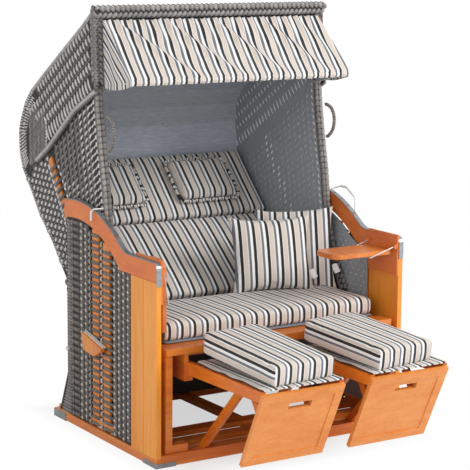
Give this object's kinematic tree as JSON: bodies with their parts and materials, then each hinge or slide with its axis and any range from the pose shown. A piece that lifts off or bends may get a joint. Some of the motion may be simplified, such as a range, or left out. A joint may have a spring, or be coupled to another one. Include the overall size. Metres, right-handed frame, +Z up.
{
  "type": "hooded beach chair",
  "caption": "Two-seat woven beach chair whose hood tips back over a boxed seat, with striped cushions, a front awning, pull-out footrests and fold-down side trays",
  "frame": {"origin": "centre of the footprint at floor height, at the bottom of the bounding box", "axes": "+Z up, -Y the open front where people sit and the footrests pull out, +X the chair's right side as seen from the front"},
  "size_m": [1.1346, 1.6658, 1.638],
  "materials": {
    "pine": "warm orange glazed pine with a satin sheen",
    "wicker": "dark grey-brown flat synthetic strand, tightly woven, slightly glossy",
    "lining": "slate grey textured sheet with a fine grain",
    "steel": "dull galvanised strip and bright wire",
    "white": "white coating on the bolts' heads, the bails and their grips",
    "fabric": "plain-woven cotton blend with wide beige, slate grey, white and thin charcoal stripes"
  },
  "bodies": {
    "base": {"arm_board_left": "pine", "arm_board_right": "pine", "arm_strip_left": "steel", "arm_strip_right": "steel", "base_rail_front": "pine", "base_rail_left": "pine", "base_rail_right": "pine", "corner_plate_front_left": "steel", "corner_plate_front_right": "steel", "corner_plate_rear_left": "steel", "corner_plate_rear_right": "steel", "floor_frame": "pine", "footrest_cushion_left": "fabric", "footrest_cushion_right": "fabric", "footrest_guides": "pine", "front_board_left": "pine", "front_board_right": "pine", "pillow_front": "fabric", "pillow_rear": "fabric", "pivot_bolt_left": "white", "pivot_bolt_right": "white", "seat_cushion": "fabric", "seat_deck": "pine", "seat_frame": "pine", "side_frame_left": "pine", "side_frame_right": "pine", "side_handle_left": "pine", "side_handle_right": "pine", "tray_mount_left": "pine", "tray_mount_right": "pine", "woven_rear": "wicker", "woven_side_left": "wicker", "woven_side_right": "wicker"},
    "hood": {"hood_wall_left": "wicker", "hood_wall_right": "wicker", "hood_shell": "wicker", "hood_band_left": "wicker", "hood_band_right": "wicker", "hood_border": "wicker", "hood_slat_left": "pine", "hood_slat_right": "pine", "hood_lining": "lining", "loop_handle_left": "wicker", "loop_handle_right": "wicker", "back_cushion_lower": "fabric", "back_cushion_upper": "fabric", "neck_pad_left": "fabric", "neck_pad_right": "fabric", "awning_cloth": "fabric"},
    "footrest_left": {"footrest_frame_left": "pine", "footrest_panel_left": "wicker"},
    "footrest_right": {"footrest_frame_right": "pine", "footrest_panel_right": "wicker"},
    "stay_left": {"tray_stay_left": "steel"},
    "stay_right": {"tray_stay_right": "steel"},
    "tray_left": {"tray_left": "pine"},
    "tray_right": {"tray_right": "pine"},
    "bow": {"awning_bow": "steel"},
    "bail_left": {"lock_bail_left": "white"},
    "bail_right": {"lock_bail_right": "white"}
  },
  "joints": [
    {"name": "hood_recline", "type": "hinge", "parent": "base", "child": "hood", "pos_m": [0, 0.3419, 0.3], "axis": [1, 0, 0], "range_deg": [-36, 0]},
    {"name": "footrest_left_slide", "type": "slide", "parent": "base", "child": "footrest_left", "axis": [0, 1, 0], "range_m": [0, 0.2]},
    {"name": "footrest_right_slide", "type": "slide", "parent": "base", "child": "footrest_right", "axis": [0, 1, 0], "range_m": [0, 0.2]},
    {"name": "tray_stay_left_swing", "type": "hinge", "parent": "base", "child": "stay_left", "pos_m": [-0.515, -0.2666, 0.72], "axis": [0, 1, 0], "range_deg": [-63.24, 0]},
    {"name": "tray_left_fold", "type": "hinge", "parent": "stay_left", "child": "tray_left", "pos_m": [-0.49399, -0.2666, 0.60084], "axis": [0, 1, 0], "range_deg": [0, 153.24]},
    {"name": "tray_stay_right_swing", "type": "hinge", "parent": "base", "child": "stay_right", "pos_m": [0.515, -0.2666, 0.72], "axis": [0, 1, 0], "range_deg": [-63.24, 0]},
    {"name": "tray_right_fold", "type": "hinge", "parent": "stay_right", "child": "tray_right", "pos_m": [0.39914, -0.2666, 0.6851], "axis": [0, 1, 0], "range_deg": [0, 153.24]},
    {"name": "awning_bow_swing", "type": "hinge", "parent": "hood", "child": "bow", "pos_m": [0, 0.1719, 1.318], "axis": [1, 0, 0], "range_deg": [-45, 0], "deforming": ["awning_cloth"]},
    {"name": "lock_bail_left_swing", "type": "hinge", "parent": "hood", "child": "bail_left", "pos_m": [-0.516, 0.0979, 0.888], "axis": [1, 0, 0], "range_deg": [-100, 20]},
    {"name": "lock_bail_right_swing", "type": "hinge", "parent": "hood", "child": "bail_right", "pos_m": [0.516, 0.0979, 0.888], "axis": [1, 0, 0], "range_deg": [-90, 0]}
  ],
  "couplings": [
    {"joint": "tray_left_fold", "follows": "tray_stay_left_swing", "ratio": -2.4232},
    {"joint": "tray_right_fold", "follows": "tray_stay_right_swing", "ratio": -2.4232}
  ]
}
